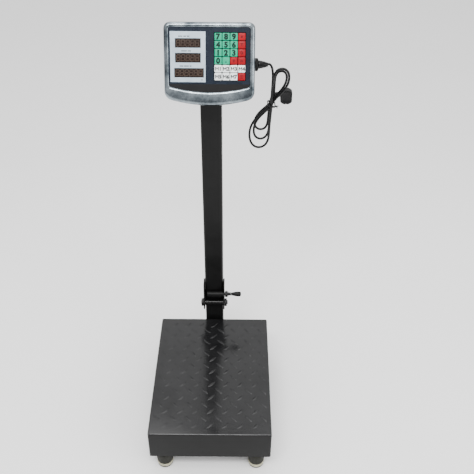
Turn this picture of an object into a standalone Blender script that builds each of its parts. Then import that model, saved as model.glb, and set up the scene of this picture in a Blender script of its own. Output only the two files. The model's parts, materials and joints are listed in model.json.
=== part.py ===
"""Platform shipping scale: weighing platform, folding mast, indicator head and tied mains lead.

Run with: blender --background --python part.py
Units are metres, +Z is up, +X is to the right, and the front of the scale faces -Y.
"""
import math

import bmesh
import bpy
from mathutils import Matrix, Vector

MM = 0.001
GAP = 0.3 * MM

# Platform and base
PLATFORM_WIDTH = 300 * MM
PLATFORM_FRONT_Y = -228 * MM
PLATFORM_BACK_Y = 172 * MM
PLATFORM_TOP_Z = 138 * MM
SKIRT_HEIGHT = 86 * MM
PAN_SHEET = 3 * MM
RAIL_SIZE = 25 * MM
RAIL_X = 115 * MM
RAIL_FRONT_Y = -218 * MM
RAIL_BACK_Y = 150 * MM
SPINE_BOTTOM_Z = 40 * MM
SPINE_HEIGHT = 11 * MM
SPINE_WIDTH = 70 * MM
FOOT_Y = (-206 * MM, 138 * MM)
FOOT_HEIGHT = 50 * MM
STUD_RADIUS = 5 * MM
CELL_BOTTOM_Z = 54.5 * MM
CELL_TOP_Z = 99.4 * MM
PLATFORM_DIP = 0.6 * MM

# Mast and its hinge
MAST_SIZE = 50 * MM
MAST_Y = 203 * MM
MAST_TOP_Z = 845 * MM
MAST_WALL = 2 * MM
HINGE_GAP_Z = 197 * MM
PIVOT_Y = 170 * MM
PIVOT_Z = 204.5 * MM
BARREL_RADIUS = 7.5 * MM
BOLT_RADIUS = 6 * MM
HEX_RADIUS = 11 * MM
HEX_HEIGHT = 6 * MM
CHEEK_INNER_X = 25.6 * MM
CHEEK_OUTER_X = 29.2 * MM
LOCK_Y = 169.7 * MM
LOCK_Z = 235.5 * MM
LOCK_RADIUS = 4.5 * MM

# Indicator head, in its own frame: x right, y back from the bezel's front plane, z up
HEAD_TILT = math.radians(22)
HEAD_CENTRE = Vector((0, 140 * MM, 918.5 * MM))
HEAD_PIVOT = Vector((0, 209 * MM, 896 * MM))
KEY_PITCH_X = 16.8 * MM
KEY_PITCH_Z = 16.55 * MM
KEY_FIRST = (18.8 * MM, 57.3 * MM)
KEY_SIZE = (15.6 * MM, 15.2 * MM)
KEY_FRONT = 1.6 * MM
KEY_THICKNESS = 4 * MM
KEY_ROWS = (
    ("7", "8", "9", "clear"),
    ("4", "5", "6", "tare"),
    ("1", "2", "3", "zero"),
    ("0", "point", "add", "change"),
    ("m1", "m2", "m3", "m4"),
    ("m5", "m6", "m7", "total"),
)

# Mains lead, in millimetres: it hangs beside the head, and its hank is tied at the waist
CORD_RADIUS = 2.75 * MM
HANG_Y = 175.6 * MM
LEAD_POINTS = (
    (128, 175.6, 905.1), (130.5, 175.6, 905), (133.3, 175.4, 903), (135.4, 174.7, 899.6), (137.1, 173, 894.6),
    (138.3, 170.2, 886.5), (138.7, 167.8, 877), (138.5, 167.2, 871.5), (138.5, 167.2, 866.8),
)
HANK_POINTS = (
    (135.3, 866.5), (134.6, 848), (133.6, 830), (128, 811), (107.5, 789.5), (90, 764), (86, 736),
    (94, 711), (109, 700.3), (127, 704.5), (137, 727), (140.5, 770), (146, 806), (163, 833.5),
    (177.3, 855), (180, 878), (172.5, 895.5), (159, 899.2), (146.8, 889.5), (142.2, 866.5),
)
HANK_THICKNESS = 23.6 * MM
PLUG_CENTRE = Vector((172.5 * MM, 199.6 * MM, 819.4 * MM))
PLUG_RADIUS = 17.5 * MM
PLUG_DEPTH = 20 * MM
PLUG_HALF_WIDTH = 13.5 * MM
PIN_RADIUS = 2.4 * MM
PIN_LENGTH = 18 * MM
PIN_SPACING = 19 * MM

COLOURS = {
    "black_paint": ((0.028, 0.028, 0.028), 0.42, 0.2),
    "zinc": ((0.55, 0.55, 0.53), 0.35, 1.0),
    "aluminium": ((0.62, 0.63, 0.64), 0.4, 1.0),
    "rubber": ((0.03, 0.03, 0.027), 0.75, 0.0),
    "chrome": ((0.75, 0.76, 0.78), 0.12, 1.0),
    "black_plastic": ((0.02, 0.02, 0.02), 0.5, 0.0),
    "face_plastic": ((0.035, 0.04, 0.055), 0.3, 0.0),
    "silver_label": ((0.5, 0.57, 0.62), 0.4, 0.3),
    "green_board": ((0.02, 0.16, 0.06), 0.5, 0.0),
    "battery_case": ((0.05, 0.05, 0.06), 0.5, 0.0),
    "key_green": ((0.03, 0.56, 0.33), 0.35, 0.0),
    "key_red": ((0.55, 0.012, 0.03), 0.35, 0.0),
    "key_white": ((0.82, 0.86, 0.86), 0.35, 0.0),
    "cord_black": ((0.012, 0.012, 0.012), 0.5, 0.0),
}


def clear_scene():
    for obj in list(bpy.data.objects):
        bpy.data.objects.remove(obj, do_unlink=True)


def new_collection(name):
    collection = bpy.data.collections.new(name)
    bpy.context.scene.collection.children.link(collection)
    return collection


def make_material(name, finish):
    colour, roughness, metallic = COLOURS[finish]
    material = bpy.data.materials.new(name)
    material.use_nodes = True
    shader = material.node_tree.nodes["Principled BSDF"]
    shader.inputs["Base Color"].default_value = (*colour, 1.0)
    shader.inputs["Roughness"].default_value = roughness
    shader.inputs["Metallic"].default_value = metallic
    material.diffuse_color = (*colour, 1.0)
    return material


def add_object(name, mesh, finish=None):
    """Link a mesh as one sub-part, or as a cutter when it has no finish."""
    obj = bpy.data.objects.new(name, mesh)
    if finish is None:
        cutters.objects.link(obj)
        obj.hide_render = True
        obj.display_type = "WIRE"
    else:
        scale_parts.objects.link(obj)
        mesh.materials.append(make_material(name, finish))
    return obj


def mesh_from(bm, name):
    bmesh.ops.recalc_face_normals(bm, faces=bm.faces)
    if bm.calc_volume(signed=True) < 0:
        bmesh.ops.reverse_faces(bm, faces=bm.faces)
    mesh = bpy.data.meshes.new(name)
    bm.to_mesh(mesh)
    bm.free()
    return mesh


def box_mesh(name, low, high, round_edges=0.0, segments=2):
    """A box between two corners, with all its edges rounded when a radius is given."""
    low, high = Vector(low), Vector(high)
    bm = bmesh.new()
    place = Matrix.Translation((low + high) / 2) @ Matrix.Diagonal((*(high - low), 1))
    bmesh.ops.create_cube(bm, size=1, matrix=place)
    if round_edges:
        edges = bm.edges[:]
        bmesh.ops.bevel(bm, geom=edges, offset=round_edges, segments=segments, affect="EDGES", profile=0.5)
    return mesh_from(bm, name)


def add_box(name, finish, low, high, round_edges=0.0, segments=2):
    return add_object(name, box_mesh(name, low, high, round_edges, segments), finish)


def rod_mesh(name, centre, axis, length, radius, end_radius=None, sides=24):
    """A cylinder or cone centred on a point, running along an axis."""
    bm = bmesh.new()
    turn = Vector((0, 0, 1)).rotation_difference(Vector(axis)).to_matrix().to_4x4()
    bmesh.ops.create_cone(
        bm, cap_ends=True, cap_tris=False, segments=sides, depth=length,
        radius1=radius, radius2=radius if end_radius is None else end_radius,
        matrix=Matrix.Translation(centre) @ turn)
    return mesh_from(bm, name)


def cut(obj, mesh, operation="DIFFERENCE"):
    """Cut a mesh out of an object, or join it on, with an exact boolean."""
    cutter = add_object(mesh.name, mesh)
    cutter.parent = obj.parent
    modifier = obj.modifiers.new(mesh.name, "BOOLEAN")
    modifier.operation = operation
    modifier.solver = "EXACT"
    modifier.object = cutter
    return obj


def square_tube(name, finish, low, high, axis, wall, corner=2 * MM, segments=1):
    """A square tube with open ends: a box with rounded long edges, its ends removed, thickened inwards."""
    low, high = Vector(low), Vector(high)
    bm = bmesh.new()
    place = Matrix.Translation((low + high) / 2) @ Matrix.Diagonal((*(high - low), 1))
    bmesh.ops.create_cube(bm, size=1, matrix=place)
    long_edges = [e for e in bm.edges if abs((e.verts[0].co - e.verts[1].co)[axis]) > 1e-6]
    bmesh.ops.bevel(bm, geom=long_edges, offset=corner, segments=segments, affect="EDGES", profile=0.5)
    ends = [f for f in bm.faces if abs(f.normal[axis]) > 0.9]
    bmesh.ops.delete(bm, geom=ends, context="FACES_ONLY")
    obj = add_object(name, mesh_from(bm, name), finish)
    skin = obj.modifiers.new("wall", "SOLIDIFY")
    skin.thickness = wall
    skin.offset = -1
    skin.use_even_offset = True
    return obj


def extruded_outline(name, points, low, high, axis=0):
    """A flat outline of (u, v) points carried from low to high along an axis; u and v are the other two."""
    others = [i for i in range(3) if i != axis]
    bm = bmesh.new()
    verts = []
    for u, v in points:
        co = [0, 0, 0]
        co[axis], co[others[0]], co[others[1]] = low, u, v
        verts.append(bm.verts.new(co))
    face = bm.faces.new(verts)
    side = bmesh.ops.extrude_face_region(bm, geom=[face])
    shift = [0, 0, 0]
    shift[axis] = high - low
    moved = [v for v in side["geom"] if isinstance(v, bmesh.types.BMVert)]
    bmesh.ops.translate(bm, vec=shift, verts=moved)
    bmesh.ops.triangulate(bm, faces=[f for f in bm.faces if len(f.verts) > 4])
    return mesh_from(bm, name)


def turned(name, finish, profile, origin, axis=(0, 0, 1), sides=24, parent=None):
    """A turned solid: (radius, height) points on the axis at both ends, closed by a Screw modifier."""
    mesh = bpy.data.meshes.new(name)
    verts = [(r, 0, h) for r, h in profile]
    mesh.from_pydata(verts, [(i, i + 1) for i in range(len(verts) - 1)], [])
    obj = add_object(name, mesh, finish)
    obj.parent = parent
    obj.location = origin
    obj.rotation_euler = Vector((0, 0, 1)).rotation_difference(Vector(axis)).to_euler()
    screw = obj.modifiers.new("turn", "SCREW")
    screw.axis = "Z"
    screw.steps = sides
    screw.render_steps = sides
    screw.use_merge_vertices = True
    screw.merge_threshold = 0.00001
    screw.use_normal_calculate = True
    return obj


def empty_at(name, location, rotation=(0, 0, 0)):
    empty = bpy.data.objects.new(name, None)
    scale_parts.objects.link(empty)
    empty.location = location
    empty.rotation_euler = rotation
    return empty


def hang_on(empty, *objects):
    """Parent objects that are modelled in world place, so that they keep their place."""
    bpy.context.view_layer.update()
    for obj in objects:
        obj.parent = empty
        obj.matrix_parent_inverse = empty.matrix_world.inverted()


# ---------------------------------------------------------------- base

def build_base():
    bottom = SPINE_BOTTOM_Z + SPINE_HEIGHT + GAP
    top = bottom + RAIL_SIZE
    half = RAIL_SIZE / 2
    for side, x in (("left", -RAIL_X), ("right", RAIL_X)):
        rail = square_tube("base_rail_" + side, "black_paint", (x - half, RAIL_FRONT_Y, bottom),
                           (x + half, RAIL_BACK_Y, top), 1, 2 * MM)
        for end, y in zip(("front", "rear"), FOOT_Y):
            hole = rod_mesh(f"stud_hole_{end}_{side}", (x, y, (bottom + top) / 2), (0, 0, 1),
                            RAIL_SIZE * 2, STUD_RADIUS + 0.3 * MM, sides=16)
            cut(rail, hole)
    inner = RAIL_X - half - GAP
    for end, y in (("front", RAIL_FRONT_Y), ("rear", RAIL_BACK_Y - RAIL_SIZE)):
        square_tube("base_crossbar_" + end, "black_paint", (-inner, y, bottom), (inner, y + RAIL_SIZE, top),
                    0, 2 * MM)
    mast_back = MAST_Y + MAST_SIZE / 2
    add_box("spine_beam", "black_paint", (-SPINE_WIDTH / 2, -190 * MM, SPINE_BOTTOM_Z),
            (SPINE_WIDTH / 2, mast_back, SPINE_BOTTOM_Z + SPINE_HEIGHT), 1.5 * MM, 1)


def build_load_cell():
    """A single-point load cell: a bar with a stepped foot at its rear, a stepped head and two eyes."""
    half = 20 * MM
    cell = add_box("load_cell", "aluminium", (-half, -85 * MM, CELL_BOTTOM_Z + 3 * MM),
                   (half, 75 * MM, CELL_TOP_Z - 3 * MM))
    foot_z = SPINE_BOTTOM_Z + SPINE_HEIGHT + GAP
    foot = box_mesh("cell_foot", (-half, 25 * MM, foot_z), (half, 75 * MM, CELL_BOTTOM_Z + 9 * MM))
    head = box_mesh("cell_head", (-half, -85 * MM, CELL_TOP_Z - 9 * MM), (half, -35 * MM, CELL_TOP_Z))
    cut(cell, foot, "UNION")
    cut(cell, head, "UNION")
    middle = (CELL_BOTTOM_Z + CELL_TOP_Z) / 2
    for number, y in enumerate((-14 * MM, 4 * MM)):
        cut(cell, rod_mesh(f"cell_eye_{number}", (0, y, middle), (1, 0, 0), 3 * half, 12 * MM, sides=20))


def build_feet():
    """Four levelling feet, each a tapered pad with its threaded stud, turning on the stud's axis."""
    stud_top = SPINE_BOTTOM_Z + SPINE_HEIGHT + RAIL_SIZE + 8 * MM
    profile = (
        (0, 0), (13 * MM, 0), (15 * MM, 1.5 * MM), (17.5 * MM, 9 * MM), (19.5 * MM, 18 * MM),
        (21.5 * MM, 34 * MM), (22 * MM, FOOT_HEIGHT - 3 * MM), (20.5 * MM, FOOT_HEIGHT),
        (STUD_RADIUS, FOOT_HEIGHT), (STUD_RADIUS, stud_top - MM), (STUD_RADIUS - MM, stud_top), (0, stud_top),
    )
    for end, y in zip(("front", "rear"), FOOT_Y):
        for side, x in (("left", -RAIL_X), ("right", RAIL_X)):
            turned(f"levelling_foot_{end}_{side}", "rubber", profile, (x, y, 0), sides=20)


# ---------------------------------------------------------------- platform

def build_platform():
    """The pan is an open-bottomed box of sheet, and the spider is a folded channel that carries it."""
    half = PLATFORM_WIDTH / 2
    bottom = PLATFORM_TOP_Z - SKIRT_HEIGHT
    pan = add_box("platform_pan", "black_paint", (-half, PLATFORM_FRONT_Y, bottom),
                  (half, PLATFORM_BACK_Y, PLATFORM_TOP_Z), 2.5 * MM, 2)
    hollow = box_mesh("pan_hollow", (-half + PAN_SHEET, PLATFORM_FRONT_Y + PAN_SHEET, bottom - 20 * MM),
                      (half - PAN_SHEET, PLATFORM_BACK_Y - PAN_SHEET, PLATFORM_TOP_Z - PAN_SHEET))
    cut(pan, hollow)
    wide, sheet = 95 * MM, 4 * MM
    low, high = CELL_TOP_Z + PLATFORM_DIP + GAP, PLATFORM_TOP_Z - PAN_SHEET - GAP
    channel = ((-wide, low), (wide, low), (wide, high), (wide - sheet, high), (wide - sheet, low + sheet),
               (-wide + sheet, low + sheet), (-wide + sheet, high), (-wide, high))
    add_object("platform_spider", extruded_outline("platform_spider", channel, -185 * MM, 130 * MM, 1),
               "black_paint")


# ---------------------------------------------------------------- mast

def build_mast_foot():
    """The fixed stub, the flange with its two cheeks, and the pivot bolt with its nut."""
    half = MAST_SIZE / 2
    front, back = MAST_Y - half, MAST_Y + half
    flange_top = HINGE_GAP_Z - 0.4 * MM
    flange_bottom = flange_top - 6 * MM
    square_tube("mast_stub", "black_paint", (-half, front, SPINE_BOTTOM_Z + SPINE_HEIGHT + GAP),
                (half, back, flange_bottom - GAP), 2, 3 * MM, 5 * MM, 2)
    bracket = add_box("hinge_bracket", "black_paint", (-CHEEK_INNER_X - MM, front - 6 * MM, flange_bottom),
                      (CHEEK_INNER_X + MM, back, flange_top))
    outline = ((-13, -15.5), (38, -15.5), (38, 50), (28, 63.5), (-3, 63.5), (-5, 60), (-5, 16), (-13, 6))
    points = [(PIVOT_Y + y * MM, PIVOT_Z + z * MM) for y, z in outline]
    cut(bracket, extruded_outline("cheek_left", points, -CHEEK_OUTER_X, -CHEEK_INNER_X), "UNION")
    cut(bracket, extruded_outline("cheek_right", points, CHEEK_INNER_X, CHEEK_OUTER_X), "UNION")
    cut(bracket, rod_mesh("pivot_hole", (0, PIVOT_Y, PIVOT_Z), (1, 0, 0), 80 * MM, BOLT_RADIUS + 0.3 * MM))
    seat = LOCK_RADIUS + 1.5 * MM
    notch_x = (CHEEK_INNER_X + CHEEK_OUTER_X) / 2
    cut(bracket, rod_mesh("lock_seat", (notch_x, LOCK_Y, LOCK_Z), (1, 0, 0), 10 * MM, seat))
    cut(bracket, box_mesh("lock_mouth", (notch_x - 5 * MM, LOCK_Y - 20 * MM, LOCK_Z - seat),
                          (notch_x + 5 * MM, LOCK_Y, LOCK_Z + seat)))
    head_in = CHEEK_OUTER_X + GAP
    shank_end = 38 * MM
    shank_middle = (shank_end - head_in) / 2
    shank = rod_mesh("pivot_bolt", (shank_middle, PIVOT_Y, PIVOT_Z), (1, 0, 0), shank_end + head_in,
                     BOLT_RADIUS - 0.1 * MM, sides=20)
    bolt = add_object("pivot_bolt", shank, "zinc")
    hex_middle = head_in + HEX_HEIGHT / 2
    head = rod_mesh("bolt_head", (-hex_middle, PIVOT_Y, PIVOT_Z), (1, 0, 0), HEX_HEIGHT, HEX_RADIUS, sides=6)
    cut(bolt, head, "UNION")
    place = (hex_middle, PIVOT_Y, PIVOT_Z)
    hexagon = rod_mesh("pivot_nut", place, (1, 0, 0), HEX_HEIGHT, HEX_RADIUS, sides=6)
    nut = add_object("pivot_nut", hexagon, "zinc")
    cut(nut, rod_mesh("nut_bore", (hex_middle, PIVOT_Y, PIVOT_Z), (1, 0, 0), 2 * HEX_HEIGHT,
                      BOLT_RADIUS + 0.2 * MM, sides=20))


def build_mast():
    """The folding column: tube, hinge plate with its barrel, and the cross tube of the lock rod."""
    half = MAST_SIZE / 2
    front, back = MAST_Y - half, MAST_Y + half
    plate_low = HINGE_GAP_Z + 0.4 * MM
    plate_high = plate_low + 4.4 * MM
    tube = square_tube("mast_tube", "black_paint", (-half, front, plate_high + GAP),
                       (half, back, MAST_TOP_Z), 2, MAST_WALL, 6 * MM, 3)
    plate = add_box("hinge_plate", "black_paint", (-half, PIVOT_Y, plate_low), (half, back, plate_high))
    cut(plate, rod_mesh("hinge_barrel", (0, PIVOT_Y, PIVOT_Z), (1, 0, 0), MAST_SIZE, BARREL_RADIUS), "UNION")
    bore = rod_mesh("barrel_bore", (0, PIVOT_Y, PIVOT_Z), (1, 0, 0), 2 * MAST_SIZE, BOLT_RADIUS + 0.2 * MM)
    cut(plate, bore)
    middle = (2.5 * MM, LOCK_Y, LOCK_Z)
    sleeve = rod_mesh("lock_tube", middle, (1, 0, 0), 43 * MM, 8 * MM)
    lock_tube = add_object("lock_tube", sleeve, "black_paint")
    cut(lock_tube, rod_mesh("lock_bore", middle, (1, 0, 0), 60 * MM, LOCK_RADIUS + 0.3 * MM))
    return tube, plate, lock_tube


def build_lock():
    """The lock rod with its hex clamp collar, and the tapered grip on its end."""
    shaft = rod_mesh("lock_rod", (14.3 * MM, LOCK_Y, LOCK_Z), (1, 0, 0), 65.4 * MM, LOCK_RADIUS, sides=20)
    rod = add_object("lock_rod", shaft, "zinc")
    collar = rod_mesh("clamp_collar", (34 * MM, LOCK_Y, LOCK_Z), (1, 0, 0), 7 * MM, 9.5 * MM, sides=6)
    cut(rod, collar, "UNION")
    profile = ((0, 0), (3.8, 0), (4.4, 0.8), (6.4, 8), (7, 22), (6.6, 26.5), (5, 28), (0, 28))
    grip = turned("lock_grip", "black_plastic", [(r * MM, h * MM) for r, h in profile],
                  (47.3 * MM, LOCK_Y, LOCK_Z), (1, 0, 0), 20)
    return rod, grip


def build_head_bracket():
    """A plug in the mast's top with two ears, and the tilt bolt through them."""
    y, z = HEAD_PIVOT.y, HEAD_PIVOT.z
    seat = MAST_TOP_Z + GAP
    bracket = add_box("head_bracket", "black_paint", (-24 * MM, 181 * MM, seat),
                      (24 * MM, 225 * MM, seat + 4 * MM))
    plug = 22.4 * MM
    low, high = (-plug, MAST_Y - plug, seat - 25 * MM), (plug, MAST_Y + plug, seat + MM)
    cut(bracket, box_mesh("bracket_plug", low, high, 4.2 * MM, 1), "UNION")
    ear = ((-13, 0), (13, 0), (13, 46), (7, 56), (-7, 56), (-13, 46))
    points = [(y + u * MM, seat + 3 * MM + v * MM) for u, v in ear]
    for side, low in (("left", -23 * MM), ("right", 19 * MM)):
        cut(bracket, extruded_outline("ear_" + side, points, low, low + 4 * MM), "UNION")
    cut(bracket, rod_mesh("ear_hole", (0, y, z), (1, 0, 0), 70 * MM, 4.3 * MM, sides=20))
    shank = rod_mesh("tilt_bolt", (0, y, z), (1, 0, 0), 52 * MM, 3.9 * MM, sides=16)
    bolt = add_object("tilt_bolt", shank, "zinc")
    cut(bolt, rod_mesh("tilt_bolt_head", (-26 * MM, y, z), (1, 0, 0), 5.2 * MM, 7.5 * MM, sides=6), "UNION")
    cut(bolt, rod_mesh("tilt_bolt_nut", (26 * MM, y, z), (1, 0, 0), 5.2 * MM, 7.5 * MM, sides=6), "UNION")
    return bracket, bolt


# ---------------------------------------------------------------- indicator head

def head_outline(half_width, top, side_bottom, mid_bottom, corner):
    """The head's outline: a flat top, straight sides and a bottom that bows down, with rounded corners."""
    def bottom(x):
        return mid_bottom + (side_bottom - mid_bottom) * (x / half_width) ** 2

    def corner_arc(start, tip, end):
        steps = [i / 4 for i in range(5)]
        return [tuple((1 - t) ** 2 * a + 2 * t * (1 - t) * b + t * t * c for a, b, c in zip(start, tip, end))
                for t in steps]

    inner = half_width - corner
    right = corner_arc((inner, top), (half_width, top), (half_width, top - corner))
    right += corner_arc((half_width, side_bottom + corner), (half_width, side_bottom), (inner, bottom(inner)))
    right += [(inner * t, bottom(inner * t)) for t in (0.75, 0.5, 0.25)]
    left = [(-x, z) for x, z in reversed(right)]
    return right + [(0, bottom(0))] + left


def loft(name, rings, pairs, caps=()):
    """Join pairs of rings, each a head outline at a depth, and close the rings that are named as caps."""
    bm = bmesh.new()
    loops = [[bm.verts.new((x, depth, z)) for x, z in head_outline(*shape)] for *shape, depth in rings]
    count = len(loops[0])
    for first, second in pairs:
        for i in range(count):
            j = (i + 1) % count
            bm.faces.new((loops[first][i], loops[first][j], loops[second][j], loops[second][i]))
    for ring in caps:
        bm.faces.new(loops[ring])
    return mesh_from(bm, name)


def in_mm(rows):
    return [[value * MM for value in row] for row in rows]


def head_box(name, finish, low, high, round_edges=0.0, segments=2):
    obj = add_box(name, finish, [v * MM for v in low], [v * MM for v in high], round_edges, segments)
    obj.parent = head_frame
    return obj


def head_cutter(name, low, high):
    return box_mesh(name, [v * MM for v in low], [v * MM for v in high])


def build_shells():
    bezel = in_mm((
        (98, 87, -72, -87.2, 16, 24), (98, 87, -72, -87.2, 16, 8), (96.5, 85.5, -70.5, -85.5, 15, 3),
        (93.5, 82.5, -66, -80, 13, 0.4), (90, 79.5, -52, -65, 9, 0.2), (87, 76.4, -47, -59, 5, 1.5),
        (87, 76.4, -47, -59, 5, 3), (92.5, 82, -53, -65, 6, 3), (94, 83, -67, -82, 12, 6),
        (95, 84, -69, -84.2, 13, 9), (95, 84, -69, -84.2, 13, 24),
    ))
    around = [(i, (i + 1) % len(bezel)) for i in range(len(bezel))]
    front = add_object("front_shell", loft("front_shell", bezel, around), "chrome")
    front.parent = head_frame
    tray = in_mm((
        (94.5, 83.5, -68.5, -83.5, 13, 24.3), (93.5, 82.5, -67.5, -82.5, 13, 41),
        (86, 75, -61, -74, 12, 49.5), (88, 77, -63, -76.2, 14, 52),
        (96, 85, -70, -85, 15, 42), (97, 86, -71, -86, 15, 24.3),
    ))
    walls = ((0, 1), (1, 2), (3, 4), (4, 5), (5, 0))
    rear = add_object("rear_shell", loft("rear_shell", tray, walls, (2, 3)), "black_plastic")
    rear.parent = head_frame
    cut(rear, head_cutter("inlet_window", (80, 27.7, -13.8), (110, 46.3, 13.8)))
    cut(rear, head_cutter("switch_window", (-110, 30.2, -9.8), (-80, 42.8, 9.8)))


def build_face():
    """The dark face panel with its key field, the silver label and their three display windows."""
    sheet = in_mm(((91.5, 81, -51.5, -63, 6, 3.3), (91.5, 81, -51.5, -63, 6, 5.3)))
    face = add_object("face_panel", loft("face_panel", sheet, [(0, 1)], (0, 1)), "face_plastic")
    face.parent = head_frame
    cut(face, head_cutter("key_field", (9.6, 0, -34.6), (78.4, 12, 66)))
    label = head_box("display_label", "silver_label", (-83.8, 2.4, -37.4), (-8.2, 3, 67.6))
    windows = ((-73.2, 53.4, -18.4, 34), (-73.2, 23.2, -18.4, 3.4), (-75.4, -8.2, -11.8, -27.6))
    for number, (x0, z0, x1, z1) in enumerate(windows):
        cut(face, head_cutter(f"face_window_{number}", (x0, 0, z1), (x1, 12, z0)))
        cut(label, head_cutter(f"label_window_{number}", (x0, 0, z1), (x1, 12, z0)))


def build_head_inside():
    head_box("main_board", "green_board", (-84, 9.4, -44), (84, 11, 72))
    head_box("battery", "battery_case", (-62, 15, -52), (38, 48, 8), 1.5 * MM, 1)
    head_box("power_inlet", "black_plastic", (66, 28, -13.5), (95.5, 46, 13.5), MM, 1)
    wedge = [(x * MM, z * MM) for x, z in ((-90, -8.6), (-95.6, -8.6), (-97.8, 8.4), (-90, 8.6))]
    rocker_mesh = extruded_outline("rocker_switch", wedge, 31.2 * MM, 41.8 * MM, 1)
    rocker = add_object("rocker_switch", rocker_mesh, "black_plastic")
    rocker.parent = head_frame
    lug = head_box("tilt_lug", "black_paint", (-30, 52.3, -27), (30, 55.3, 37))
    cut(lug, head_cutter("lug_block", (-18.2, 54.5, -6), (18.2, 83, 16)), "UNION")
    pivot = head_frame.matrix_world.inverted() @ HEAD_PIVOT
    cut(lug, rod_mesh("lug_hole", pivot, (1, 0, 0), 60 * MM, 4.2 * MM, sides=20))


def build_keys():
    """Twenty-four key caps on a 4 by 6 grid; the caps travel straight into the face."""
    half_x, half_z = KEY_SIZE[0] / 2, KEY_SIZE[1] / 2
    for row, names in enumerate(KEY_ROWS):
        for column, name in enumerate(names):
            x = KEY_FIRST[0] + column * KEY_PITCH_X
            z = KEY_FIRST[1] - row * KEY_PITCH_Z
            if name in ("clear", "tare", "zero", "add", "change", "total"):
                finish = "key_red"
            elif name.startswith("m"):
                finish = "key_white"
            else:
                finish = "key_green"
            mesh = box_mesh("key_" + name, (-half_x, 0, -half_z), (half_x, KEY_THICKNESS, half_z))
            key = add_object("key_" + name, mesh, finish)
            key.parent = head_frame
            key.location = (x, KEY_FRONT, z)


# ---------------------------------------------------------------- mains lead

def smooth_route(points, step):
    """A Catmull-Rom curve through points given in millimetres, read about every step along its length."""
    ends = [points[0]] + list(points) + [points[-1]]
    samples = 24
    dense = []
    for a, b, c, d in zip(ends, ends[1:], ends[2:], ends[3:]):
        a, b, c, d = Vector(a), Vector(b), Vector(c), Vector(d)
        for i in range(samples):
            t = i / samples
            bend = (2 * a - 5 * b + 4 * c - d) * t ** 2 + (3 * b - a - 3 * c + d) * t ** 3
            dense.append((2 * b + (c - a) * t + bend) / 2)
    dense.append(Vector(points[-1]))
    route, travelled = [dense[0]], 0.0
    for first, second in zip(dense, dense[1:]):
        travelled += (second - first).length
        if travelled >= step:
            route.append(second)
            travelled = 0.0
    route[-1] = dense[-1]
    return [point * MM for point in route]


def build_lead():
    """The stretch of cord from the connector's boot down to the hank."""
    route = smooth_route(LEAD_POINTS, 2.4)
    curve = bpy.data.curves.new("cord_lead", "CURVE")
    curve.dimensions = "3D"
    curve.bevel_depth = CORD_RADIUS
    curve.bevel_resolution = 2
    curve.use_fill_caps = True
    spline = curve.splines.new("POLY")
    spline.points.add(len(route) - 1)
    for point, place in zip(spline.points, route):
        point.co = (*place, 1)
    scale_parts.objects.link(bpy.data.objects.new("cord_lead", curve))
    curve.materials.append(make_material("cord_lead", "cord_black"))


def build_hank():
    """The outer shape of the tied hank: two lobes and a waist, flat across the front and back."""
    half = HANK_THICKNESS / 2
    outline = smooth_route(HANK_POINTS, 9)
    hank = extruded_outline("cord_hank", outline, HANG_Y - half, HANG_Y + half, 1)
    add_object("cord_hank", hank, "cord_black")


def build_connector():
    """The lead's connector in the side inlet, with its tapered strain relief."""
    body = head_box("power_connector", "cord_black", (95.8, 30, -14), (105, 46, 14), 2 * MM, 2)
    boot = rod_mesh("connector_boot", Vector((115.6, 38, 0.5)) * MM, (1, 0, 0.03), 23.6 * MM, 9 * MM, 4 * MM)
    cut(body, boot, "UNION")


def build_plug():
    """The mains plug: a short round body with flat sides, two pins and a neck that ends behind the hank."""
    disc = rod_mesh("mains_plug", PLUG_CENTRE, (0, 1, 0), PLUG_DEPTH, PLUG_RADIUS, sides=28)
    body = add_object("mains_plug", disc, "cord_black")
    for name, side in (("left", -1), ("right", 1)):
        edge = (side * PLUG_HALF_WIDTH, side * (PLUG_HALF_WIDTH + PLUG_RADIUS))
        low = PLUG_CENTRE + Vector((min(edge), -PLUG_DEPTH, -2 * PLUG_RADIUS))
        high = PLUG_CENTRE + Vector((max(edge), PLUG_DEPTH, 2 * PLUG_RADIUS))
        cut(body, box_mesh("plug_flat_" + name, low, high))
        root = PLUG_CENTRE + Vector((side * PIN_SPACING / 2, (PLUG_DEPTH + PIN_LENGTH) / 2 - MM, 0))
        cut(body, rod_mesh("pin_" + name, root, (0, 1, 0), PIN_LENGTH, PIN_RADIUS, sides=12), "UNION")
    neck = PLUG_CENTRE + Vector((-15.5, -5, 6.6)) * MM
    cut(body, rod_mesh("plug_neck", neck, (-0.88, -0.41, 0.23), 13 * MM, 7 * MM, 4 * MM, 20), "UNION")


clear_scene()
scale_parts = new_collection("platform_scale")
cutters = new_collection("cutters")

build_base()
build_load_cell()
build_feet()
build_platform()
build_mast_foot()

column_axis = empty_at("column_fold_axis", (0, PIVOT_Y, PIVOT_Z))
lock_axis = empty_at("lock_turn_axis", (0, LOCK_Y, LOCK_Z))
head_frame = empty_at("head_frame", HEAD_CENTRE, (-HEAD_TILT, 0, 0))
bpy.context.view_layer.update()

hang_on(column_axis, *build_mast(), *build_head_bracket())
hang_on(lock_axis, *build_lock())
build_shells()
build_face()
build_head_inside()
build_keys()
build_connector()
build_lead()
build_hank()
build_plug()
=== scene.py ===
import json
import math

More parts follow.
